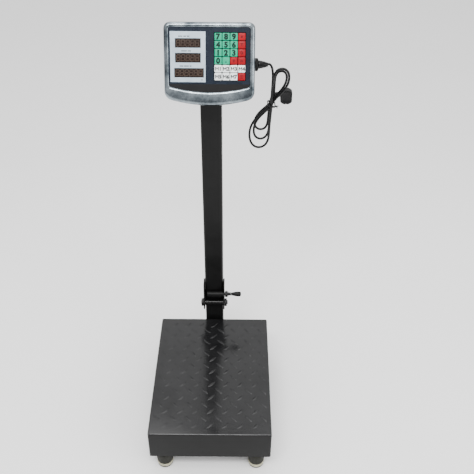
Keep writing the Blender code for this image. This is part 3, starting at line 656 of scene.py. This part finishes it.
# levelling feet: a tapered rubber cup with a plated washer pressed over its toe and a plain stud above
foot = {"cup": [(0, 0.4), (13.6, 0.4), (14.6, 0), (16.8, 0.3), (18.4, 1.6), (19.2, 3.6), (19.2, 5.2), (18.4, 6.4),
                (18.4, 13.6), (19.8, 17), (20.6, 24), (21.3, 31), (21.8, 37), (22.0, 43), (21.8, 46.5),
                (21.0, 48.8), (19.6, 50), (5.2, 50), (0, 50)],
        "ring": [(17.6, 6.0), (19.2, 6.2), (19.9, 7.4), (20.2, 9.6), (20.2, 12.0), (19.9, 13.8), (19.2, 14.8),
                 (18.2, 14.4), (17.6, 9.5)],
        "sides": 56, "flutes": 14, "fluteDepth": 0.018, "stud": 4.9}


def makeFeet():
    for node in (n for n in frame["nodes"] if n.startswith("levelling_foot")):
        low, high = boxOf(node)
        body = bodyOf[node]
        centre = np.array([(low[0] + high[0]) / 2, (low[1] + high[1]) / 2, low[2]])
        points, faces = turned(smoothRows(np.array(foot["cup"]) * mm, 3), foot["sides"])
        # shallow flutes round the upper half of the cup, for turning it by hand
        angle = np.arctan2(points[:, 1], points[:, 0])
        share = np.clip((points[:, 2] / mm - 24) / 8, 0, 1) * np.clip((49 - points[:, 2] / mm) / 3, 0, 1)
        outside = np.hypot(points[:, 0], points[:, 1]) > 15 * mm
        wave = 1 - foot["fluteDepth"] * share * (0.5 + 0.5 * np.cos(angle * foot["flutes"])) * outside
        points = points * np.column_stack([wave, wave, np.ones(len(wave))])
        r = foot["stud"] * mm
        stud = turned([(0, 49 * mm), (r, 49 * mm), (r, high[2] - mm), (4 * mm, high[2]), (0, high[2])], 24)
        ring = smoothRows(np.array(foot["ring"] + foot["ring"][:1]) * mm, 3)[:-1]
        washer = turned(ring, foot["sides"], loop=True)
        makePiece(node + "_cup", placed((points, faces), centre), footRubber, body, [node], 50)
        makePiece(node + "_stud", placed(stud, centre * [1, 1, 0]), zincPlate, body, ())
        makePiece(node + "_washer", placed(washer, centre), footRing, body, (), 50)


makeFeet()
print("base and feet made")


# a square tube: an outer and an inner rounded-rectangle wall, joined by small lips at both ends
def squareTube(low, high, wall, corner):
    middle = (low + high) / 2
    half = (high - low)[0] / 2
    lip = 0.5
    section = [(lip, low[2]), (0, low[2] + lip * mm), (0, high[2] - lip * mm), (lip, high[2]),
               (wall - lip, high[2]), (wall, high[2] - lip * mm), (wall, low[2] + lip * mm), (wall - lip, low[2])]
    rings = []
    for inset, height in section:
        flat = roundedRect(half - inset * mm, half - inset * mm, max(corner - inset, 1) * mm, 8)
        rings.append(atDepth(flat + middle[:2], height))
    return fromRings(rings, loop=True)


# a weld bead: a thin tube round a square section whose radius ripples every 2.2 mm
def weldBead(centre, half, corner, radius):
    flat = roundedRect(half * mm, half * mm, corner * mm, 10)
    closed = np.vstack([flat, flat[:1]])
    travelled = np.concatenate([[0], np.cumsum(np.linalg.norm(np.diff(closed, axis=0), axis=1))])
    at = np.arange(0, travelled[-1], 0.45 * mm)
    path = np.stack([np.interp(at, travelled, closed[:, k]) for k in (0, 1)], 1)
    ripple = radius * mm * (1 + 0.12 * np.sin(at / (2.2 * mm) * tau) + 0.06 * np.sin(at / (9.1 * mm) * tau + 1))
    return placed(tubeAlong(np.column_stack([path, 0 * at]), ripple, loop=True), centre)


mast = {"wall": 2, "corner": 6, "socketWall": 3, "socketCorner": 5,
        # each bead: how high over its seam, how far past the tube's side, corner radius, bead radius
        "plateBead": (0.5, -1.0, 5, 1.3), "footBead": (0.4, 0.2, 5.4, 2.4), "flangeBead": (-0.6, 0.1, 5.2, 1.6),
        "gusset": [(0, 0), (9, 0), (9, 5), (3, 34), (0, 36)], "gussetThick": 6}


def makeMast():
    tubeLow, tubeHigh = boxOf("mast_tube")
    stubLow, stubHigh = boxOf("mast_stub")
    makePiece("mast_column", squareTube(tubeLow, tubeHigh, mast["wall"], mast["corner"]), powderCoat, "column",
              ["mast_tube"])
    makePiece("mast_socket", squareTube(stubLow, stubHigh, mast["socketWall"], mast["socketCorner"]), powderCoat,
              "base", ["mast_stub"])
    x, y = (tubeLow[0] + tubeHigh[0]) / 2, (tubeLow[1] + tubeHigh[1]) / 2
    half = (tubeHigh[0] - tubeLow[0]) / 2

    def beadOn(height, which):
        over, past, corner, radius = mast[which]
        return weldBead((x, y, height + over * mm), half / mm + past, corner, radius)

    makePiece("column_weld", beadOn(boxOf("hinge_plate")[1][2], "plateBead"), powderCoat, "column", (),
              60)
    shapes = [beadOn(stubLow[2], "footBead"), beadOn(stubHigh[2], "flangeBead")]
    # two gussets brace the foot of the mast on the spine
    profile = np.array(mast["gusset"], float) * mm
    thick = mast["gussetThick"] * mm
    for side in (-1, 1):
        ring = np.column_stack([side * (profile[:, 0] + half) + x, np.full(len(profile), y - thick / 2),
                                profile[:, 1] + boxOf("spine_beam")[1][2]])
        shapes.append(fromRings([ring, ring + np.array([0, thick, 0])]))
    makePiece("socket_welds", joined(shapes), powderCoat, "base", (), 60)
    softenNode("hinge_leaf_upper", "hinge_plate", glossEnamel, "column", 0.5)
    softenNode("hinge_leaf_lower", "hinge_bracket", glossEnamel, "base", 1.1)


makeMast()


# hinge hardware: bolt and nut, the cross tube, the lock rod with its collar and washer, and its grip
hinge = {"shank": 5.9, "flats": 0.93, "dome": [(7.5, 0), (6.6, 0.7), (4, 1.3), (0, 1.6)],
         "tubeOuter": 8.0, "tubeBore": 4.8, "rod": 4.5, "collarFlats": 16.2, "collarLong": 7, "collarAt": 30.5,
         "washer": [(0, 0), (7.6, 0), (7.9, 0.3), (7.9, 1.2), (7.6, 1.5), (0, 1.5)], "washerAt": 38.2,
         "gripFoot": 3.9, "gripSwell": 3.1, "gripRings": 8, "gripRingDeep": 0.28}


def makeHinge():
    h = hinge
    low, high = boxOf("pivot_bolt")
    y, z = (low[1] + high[1]) / 2, (low[2] + high[2]) / 2
    nutLow, nutHigh = boxOf("pivot_nut")
    head = hexHead((nutHigh[1] - nutLow[1]) * h["flats"], nutHigh[0] - nutLow[0])
    long, r = high[0] - low[0], h["shank"] * mm
    shank = turned([(0, 0), (r, 0), (r, long - 1.2 * mm), (r - mm, long), (0, long)], 32)
    dome = along(turned(np.array(h["dome"]) * mm, 32), (low[0], y, z), (-1, 0, 0))
    makePiece("pivot_bolt_turned", joined([acrossX(shank, low[0], y, z), acrossX(head, low[0], y, z), dome]),
              blackOxide, "base", ["pivot_bolt"])
    makePiece("pivot_nut_turned", acrossX(head, nutLow[0], y, z), blackOxide, "base", ["pivot_nut"])
    low, high = boxOf("lock_tube")
    y, z = (low[1] + high[1]) / 2, (low[2] + high[2]) / 2
    long, outer, bore = (high[0] - low[0]) / mm, h["tubeOuter"], h["tubeBore"]
    wall = [(outer, 0.4), (outer, long - 0.4), (outer - 0.4, long), (bore + 0.4, long), (bore, long - 0.4),
            (bore, 0.4), (bore + 0.4, 0), (outer - 0.4, 0)]
    makePiece("lock_cross_tube", acrossX(turned(np.array(wall) * mm, 40, loop=True), low[0], y, z), powderCoat,
              "column", ["lock_tube"])
    low, high = boxOf("lock_rod")
    reach, r = high[0] - low[0], h["rod"] * mm
    rod = turned([(0, 0), (r - 0.9 * mm, 0), (r, 0.9 * mm), (r, reach), (0, reach)], 32)
    shapes = [acrossX(rod, low[0], y, z),
              acrossX(hexHead(h["collarFlats"] * mm, h["collarLong"] * mm), h["collarAt"] * mm, y, z),
              acrossX(turned(np.array(h["washer"]) * mm, 36), h["washerAt"] * mm, y, z)]
    makePiece("lock_rod_turned", joined(shapes), blackOxide, "lock", ["lock_rod"])
    low, high = boxOf("lock_grip")
    t = np.linspace(0, 1, 57)
    # grip: its radius swells as a sine to the power 1.2 and rounds off, with shallow finger rings
    swell = h["gripFoot"] + h["gripSwell"] * np.sin(np.clip(t / 0.75, 0, 1) * math.pi / 2) ** 1.2
    swell *= np.sqrt(np.clip(1 - np.clip((t - 0.86) / 0.14, 0, 1) ** 2.2, 0, 1))
    swell -= h["gripRingDeep"] * np.clip(np.sin(t * tau * h["gripRings"]), 0, 1) * (t > 0.12) * (t < 0.84)
    profile = np.column_stack([np.maximum(swell, 0), t * (high[0] - low[0]) / mm]) * mm
    makePiece("lock_grip_moulded", acrossX(turned(profile, 36), low[0], y, z), blackAbs, "lock", ["lock_grip"],
              60)


makeHinge()
print("mast and hinge made")


# head bracket, lug and tilt bolt behind the head
def makeTilt():
    softenNode("head_fork", "head_bracket", powderCoat, "column", 0.6)
    softenNode("head_lug", "tilt_lug", powderCoat, "head", 0.6)
    low, high = boxOf("tilt_bolt")
    y, z = (low[1] + high[1]) / 2, (low[2] + high[2]) / 2
    long, r, headLong = high[0] - low[0], 3.9 * mm, 5.2 * mm
    shank = turned([(0, 0), (r, 0), (r, long), (0, long)], 28)
    head = hexHead((high[1] - low[1]) * 0.9, headLong)
    shapes = [acrossX(shank, low[0], y, z), acrossX(head, low[0], y, z), acrossX(head, high[0] - headLong, y, z)]
    makePiece("tilt_bolt_turned", joined(shapes), zincPlate, "column", ["tilt_bolt"])


makeTilt()


# the head's outline in millimetres: flat top, straight sides, a bottom that bows down, rounded corners
def headOutline(halfWidth, top, sideBottom, midBottom, corner):
    inner = halfWidth - corner
    t = np.linspace(0, 1, 11)[:, None]

    def bottom(x):
        return midBottom + (sideBottom - midBottom) * (x / halfWidth) ** 2

    def arc(start, tip, end):
        start, tip, end = (np.array(place, float) for place in (start, tip, end))
        return (1 - t) ** 2 * start + 2 * t * (1 - t) * tip + t ** 2 * end

    upper = arc((inner, top), (halfWidth, top), (halfWidth, top - corner))
    lower = arc((halfWidth, sideBottom + corner), (halfWidth, sideBottom), (inner, bottom(inner)))
    x = inner * np.linspace(1, 0, 12)[1:-1]
    right = np.vstack([upper, lower, np.column_stack([x, bottom(x)])])
    left = (right * [-1, 1])[::-1]
    return np.vstack([right, [(0, midBottom)], left])


def headRings(rows):
    return [atDepth(headOutline(*row[:5]), row[5]) for row in rows]


# bezel and rear tray rows: half width, top, bottom at the sides, bottom in the middle, corner radius, depth
bezelRows = [
    (95, 84, -69, -84.2, 13, 24), (97.4, 86.4, -71.4, -86.6, 15.6, 24), (98, 87, -72, -87.2, 16, 23.2),
    (98, 87, -72, -87.2, 16, 9.6), (97.9, 86.9, -71.9, -87.1, 16, 7), (97.5, 86.5, -71.5, -86.6, 15.7, 4.8),
    (96.6, 85.6, -70.6, -85.6, 15.2, 2.9), (95.2, 84.2, -68.8, -83.6, 14.4, 1.4),
    (93.4, 82.4, -65.4, -79.6, 13, 0.55), (91.6, 80.9, -58.5, -72, 11, 0.25), (90, 79.5, -52, -65, 9, 0.25),
    (89.1, 78.6, -50, -62.6, 7.8, 0.5),
    (88.2, 77.6, -48.4, -60.6, 6.4, 1.0), (87.3, 76.7, -47.3, -59.3, 5.3, 1.7), (87, 76.4, -47, -59, 5, 2.6),
    (87.3, 76.7, -47.3, -59.3, 5.2, 3.0), (92.5, 82, -53, -65, 6, 3.05), (94, 83, -67, -82, 12, 6),
    (95, 84, -69, -84.2, 13, 9),
]
rearRows = [
    (86, 75, -61, -74, 12, 49.5), (90.5, 79.6, -65, -79, 12.6, 46), (93.5, 82.5, -67.5, -82.5, 13, 41),
    (94.5, 83.5, -68.5, -83.5, 13, 24.3), (96.6, 85.6, -70.6, -85.6, 15, 24.3), (97, 86, -71, -86, 15, 24.8),
    (97, 86, -71, -86, 15, 32), (96.7, 85.7, -70.7, -85.7, 15, 37), (96, 85, -70, -85, 15, 42),
    (94.6, 83.6, -68.8, -83.2, 14.9, 45), (92.4, 81.4, -66.8, -80.8, 14.6, 48), (90, 79, -64.8, -78.4, 14.2, 50.6),
    (88.4, 77.4, -63.4, -76.6, 14, 51.9), (86, 75, -61, -74, 13.6, 52),
]

# what stands on the back: battery cover, vents, screws, and frames round the switch (left) and inlet (right)
rear = {"back": 52.0, "vents": 6, "screws": [(-76, 62), (76, 62), (-74, -48), (74, -48)],
        "screw": [(0, 1.1), (1.6, 1.0), (2.9, 0.6), (3.3, 0.1), (3.3, -0.4), (0, -0.4)],
        # side, x, depth, half its depth, half its height
        "surrounds": [(-1, -97, 36.5, 5.3, 8.6), (1, 95.8, 37, 9, 13.5)],
        # how far each ring lies outside the opening, and how far it stands off the side
        "lip": [(1.9, -0.6), (1.9, 0.5), (1.5, 0.9), (0.6, 0.9), (0.35, 0.6), (0.35, -0.6)]}


def makeShells():
    makePiece("chromed_bezel", onHead(fromRings(headRings(bezelRows), loop=True)), chromedAbs, "head",
              ["front_shell"], 38)
    tray = onHead(fromRings(headRings(rearRows)))
    makePiece("rear_tray", tray, blackAbs, "head", ["rear_shell"], 38)
    back = rear["back"]
    shapes = [placed(block(46, 15, back - 0.6, back + 0.9, 4, 0.5), (0, -48, 0)),
              placed(block(9, 2.4, back, back + 1.7, 1.2, 0.5), (0, -36.5, 0))]
    vent = block(22, 0.9, back - 0.3, back + 0.5, 0.8, 0.3)
    shapes += [placed(vent, (0, 49 + 4 * k, 0)) for k in range(rear["vents"])]
    makePiece("rear_cover_details", onHead(joined(shapes)), blackAbs, "head", ())
    surrounds = []
    for side, x, depth, halfDeep, halfUp in rear["surrounds"]:
        lip = [atDepth(roundedRect(halfDeep + grow, halfUp + grow, 1.5 + grow / 2), side * lift)
               for grow, lift in rear["lip"]]
        surrounds.append(placed(fromRings(lip, loop=True), (x, 0, depth), (0, 0, 1), (0, 1, 0), (1, 0, 0)))
    makePiece("side_surrounds", onHead(joined(surrounds)), blackAbs, "head", ())
    screw, slot = turned(rear["screw"], 28), block(2.1, 0.35, back + 0.7, back + 1.18, 0.3, 0.1)
    screws = [placed(screw, (x, z, back)) for x, z in rear["screws"]]
    slots = [placed(slot, (x, z, 0), *turnAxes) for x, z in rear["screws"]
             for turnAxes in (((1, 0, 0), (0, 1, 0)), ((0, 1, 0), (-1, 0, 0)))]
    makePiece("rear_screws", onHead(joined(screws)), zincPlate, "head", ())
    makePiece("rear_screw_slots", onHead(joined(slots)), blackAbs, "head", ())


makeShells()

# windows of the displays: left, top, right, bottom, and how many digits each holds
windows = [(-73.2, 53.4, -18.4, 34.0, 5), (-73.2, 23.2, -18.4, 3.4, 5), (-75.4, -8.2, -11.8, -27.6, 6)]
digit = {"width": 7.2, "height": 12.4, "bar": 1.25, "lean": 0.12, "depths": (3.08, 3.2)}


# one bar of a digit: a long hexagon, in millimetres about its middle
def segmentBar(length, width, upright):
    half, w = length / 2, width / 2
    outline = np.array([(-half, 0), (-half + w, w), (half - w, w), (half, 0), (half - w, -w), (-half + w, -w)])
    return outline[:, ::-1] if upright else outline


def makeDisplays():
    panes, frames, bars = [], [], []
    w, h, bar = digit["width"], digit["height"], digit["bar"]
    places = [(0, h / 2, 0), (0, 0, 0), (0, -h / 2, 0), (-w / 2, h / 4, 1), (w / 2, h / 4, 1), (-w / 2, -h / 4, 1),
              (w / 2, -h / 4, 1)]
    for left, top, right, bottom, count in windows:
        x, z = (left + right) / 2, (top + bottom) / 2
        halfA, halfB = (right - left) / 2, (top - bottom) / 2
        panes.append(placed(block(halfA - 0.35, halfB - 0.35, 3.15, 4.3, 0.8, 0.15), (x, z, 0)))
        outer = roundedRect(halfA + 0.05, halfB + 0.05, 1.0)
        inner = roundedRect(halfA - 1.0, halfB - 1.0, 0.7)
        lip = [atDepth(outer, 2.25), atDepth(inner, 2.35), atDepth(inner, 3.2), atDepth(outer, 3.2)]
        frames.append(placed(fromRings(lip, loop=True), (x, z, 0)))
        pitch = (2 * halfA - 4) / count
        for number in range(count):
            middle = x + (number - (count - 1) / 2) * pitch
            for dx, dz, upright in places:
                outline = segmentBar(h / 2 - 0.5 if upright else w - 0.5, bar, upright) + [dx, dz]
                outline[:, 0] += outline[:, 1] * digit["lean"]
                flat = outline + [middle - 0.4, z]
                bars.append(fromRings([atDepth(flat, depth) for depth in digit["depths"]]))
            dot = roundedRect(0.7, 0.7, 0.65, 3) + [middle + w / 2 + 1.3, z - h / 2]
            bars.append(fromRings([atDepth(dot, depth) for depth in digit["depths"]]))
    makePiece("display_filters", onHead(joined(panes)), displayFilter, "head", ())
    makePiece("display_frames", onHead(joined(frames)), blackAbs, "head", ())
    makePiece("display_segments", onHead(joined(bars)), unlitSegment, "head", ())


makeDisplays()


# label and face film, with neutral caption bars in place of words
def makeFace():
    softenNode("silver_label_film", "display_label", silverFilm, "head", 0.15)
    softenNode("face_film", "face_panel", faceFilm, "head", 0.25)
    dashes = []
    rows = [(-66, 57.6, (9, 6, 5)), (-60, 27.4, (12, 7)), (-64, -3.9, (8, 10, 4)), (-17.6, -32.6, (3.2,))]
    for x, z, lengths in rows:
        for length in lengths:
            dashes.append(placed(block(length / 2, 0.9, 2.28, 2.45, 0.3, 0.06), (x + length / 2, z, 0)))
            x += length + 1.8
    # a plain dark strip under the keys and the label
    strip = headOutline(89, 0, -49.5, -61, 5)
    strip[:, 1] = np.minimum(strip[:, 1], -41.5)
    strip = [atDepth(strip * [share, 1], depth) for share, depth in ((1, 3.28), (0.998, 3.12))]
    makePiece("dark_face_strip", onHead(fromRings(strip)), blackAbs, "head", ())
    makePiece("caption_bars", onHead(joined(dashes)), darkInk, "head", ())
    # the rubber sheet that the key caps stand on shows dark between them
    sheet = placed(block(34.2, 50.0, 7.1, 8.3, 2, 0.3), (44, 15.7, 0))
    makePiece("key_sheet", onHead(sheet), blackAbs, "head", ())


makeFace()

# keys: each cap is pillowed, and its legend is printed on it
keys = {"corner": 1.5, "edge": 0.8, "crown": 0.35}
redMarks = {"clear": "cross", "tare": "tee", "zero": "ring", "add": "plus", "change": "arrows", "total": "sum"}


def keyShade(name):
    if name in redMarks:
        return keyRed, "key_red"
    if name.startswith("m"):
        return keyWhite, "key_white"
    return keyGreen, "key_green"


# printed characters: the default typeface, thickened, made a mesh and laid on the cap
def textMesh(words, size, boldness, x, z, depth):
    text = bpy.data.curves.new("legend", "FONT")
    text.body = words
    text.size = size
    text.offset = boldness
    text.extrude = 0.04
    text.align_x = "CENTER"
    text.align_y = "CENTER"
    text.resolution_u = 4
    holder = bpy.data.objects.new("legend", text)
    mesh = bpy.data.meshes.new_from_object(holder)
    points = pointsOf(mesh)
    faces = [list(polygon.vertices) for polygon in mesh.polygons]
    bpy.data.objects.remove(holder)
    bpy.data.meshes.remove(mesh)
    middle = (points.min(0) + points.max(0)) / 2
    return points - middle * [1, 1, 0] + [x, z, depth], faces


# small drawn marks for the red keys, the letter on the white ones and the point
def markShape(kind, x, z, depth):
    def bar(length, width, angle=0.0, dx=0.0, dz=0.0):
        c, s = math.cos(angle), math.sin(angle)
        flat = block(length / 2, width / 2, depth - 0.04, depth + 0.04, 0.2, 0.02, 2, 1)
        return placed(flat, (x + dx, z + dz, 0), (c, s, 0), (-s, c, 0))

    marks = {
        "cross": [bar(6, 1.1, math.pi / 4), bar(6, 1.1, -math.pi / 4)],
        "tee": [bar(6, 1.1, 0, 0, 2.4), bar(5.4, 1.1, math.pi / 2, 0, -0.3)],
        "plus": [bar(6, 1.2), bar(6, 1.2, math.pi / 2)],
        "arrows": [bar(6.4, 1.0, 0, 0, 1.4), bar(6.4, 1.0, 0, 0, -1.4)],
        "em": [bar(7.8, 1.75, math.pi / 2, -2.9), bar(7.8, 1.75, math.pi / 2, 2.9),
               bar(5.8, 1.5, math.radians(-61), -1.4, 1.2), bar(5.8, 1.5, math.radians(61), 1.4, 1.2)],
        "sum": [bar(5.6, 1.0, 0, 0, 2.6), bar(5.6, 1.0, 0, 0, -2.6), bar(5.6, 1.0, 0, 0, 0)],
        "point": [placed(block(1.3, 1.3, depth - 0.04, depth + 0.04, 1.1, 0.02), (x, z - 2.5, 0))],
    }
    if kind == "ring":
        angle = np.arange(28) * tau / 28
        rings = [np.column_stack([x + r * np.cos(angle), z + r * np.sin(angle) * 1.25, np.full(28, depth + lift)])
                 for r, lift in ((2.6, -0.04), (1.6, -0.04), (1.6, 0.04), (2.6, 0.04))]
        return fromRings(rings, loop=True)
    return joined(marks[kind])


def makeKeys():
    for node in (n for n in frame["nodes"] if n.startswith("key_")):
        name = node[4:]
        body = bodyOf[node]
        points = pointsOf(frame["nodes"][node].data) - headOrigin
        local = np.column_stack([points @ rightHead, points @ upHead, points @ intoHead]) / mm
        low, high = local.min(0), local.max(0)
        x, z = (low[0] + high[0]) / 2, (low[1] + high[1]) / 2
        material, slot = keyShade(name)
        front = low[2] + keys["crown"]
        cap = block((high[0] - low[0]) / 2, (high[1] - low[1]) / 2, front, high[2], keys["corner"], keys["edge"],
                    crown=keys["crown"])
        makePiece(node + "_moulded", onHead(placed(cap, (x, z, 0))), material, body, [node], 60)
        depth = low[2] + 0.02
        if name in redMarks:
            legend, ink = markShape(redMarks[name], x, z, depth), redInk
        elif name.startswith("m"):
            legend = joined([markShape("em", x - 2.4, z, depth),
                             textMesh(name[1:], 10.6, 0.55, x + 4.5, z, depth)])
            ink = darkInk
        elif name == "point":
            legend, ink = markShape("point", x, z, depth), darkInk
        else:
            legend, ink = textMesh(name, 15.6, 0.85, x, z, depth), darkInk
        makePiece(node + "_legend", onHead(legend), ink, body, ())


makeKeys()
print("head and keys made")


# what the head holds inside, the inlet and the switch
def makeInside():
    for node, material, body, width, slot in (
            ("main_board", circuitBoard, "head", 0.1, "circuit_board"),
            ("battery", batteryCase, "head", 0.8, "battery_case"),
            ("power_inlet", blackAbs, "head", 0.5, "black_abs"),
            ("rocker_switch", blackAbs, "power_switch", 0.5, "black_abs")):
        softenNode(node + "_moulded", node, material, body, width)


makeInside()


# a plain pale floor and soft studio light
stage = {"half": 20.0, "horizon": 0.3, "strength": 1.3}


def makeStage():
    half, horizon = stage["half"], stage["horizon"]
    mesh = bpy.data.meshes.new("floor")
    mesh.from_pydata([(-half, -half, 0), (half, -half, 0), (half, half, 0), (-half, half, 0)], [], [(0, 1, 2, 3)])
    floor = linked("floor", mesh)
    mesh.materials.append(makeMaterial("pale_floor_paint", "fdfdfd", "fbfbfb", (0.6, 0.7), 900, 30, 0.01))
    world = bpy.data.worlds.new("studio")
    bpy.context.scene.world = world
    world.use_nodes = True
    tree = world.node_tree
    background = tree.nodes["Background"]
    # white overhead, a darker room around the horizon
    heading = addNode(tree, "ShaderNodeTexCoord").outputs["Generated"]
    parts = addNode(tree, "ShaderNodeSeparateXYZ", {"Vector": heading})
    room = addNode(tree, "ShaderNodeValToRGB", {"Fac": parts.outputs["Z"]},
                   [(0.0, (horizon, horizon, horizon + 0.01, 1)), (0.45, (1, 1, 1, 1))])
    tree.links.new(room.outputs["Color"], background.inputs["Color"])
    background.inputs["Strength"].default_value = stage["strength"]


# each light: place, aimed at, width and height in metres, power in watts
lights = {
    "key": ((-0.3, -1.35, 2.6), (0, 0.1, 0.4), 1.5, 0.5, 55),
    "fill": ((2.2, -1.4, 1.6), (0, 0, 0.5), 1.6, 1.6, 30),
    "top": ((0.0, 0.4, 3.0), (0, 0, 0.2), 2.0, 2.0, 40),
}


def makeLights():
    for name, (place, target, width, height, power) in lights.items():
        data = bpy.data.lights.new(name, "AREA")
        data.shape = "RECTANGLE"
        data.size, data.size_y = width, height
        data.energy = power
        linked(name, data).matrix_world = standing(squareTo(np.array(place) - np.array(target)), place)


makeStage()
makeLights()
print("stage made")
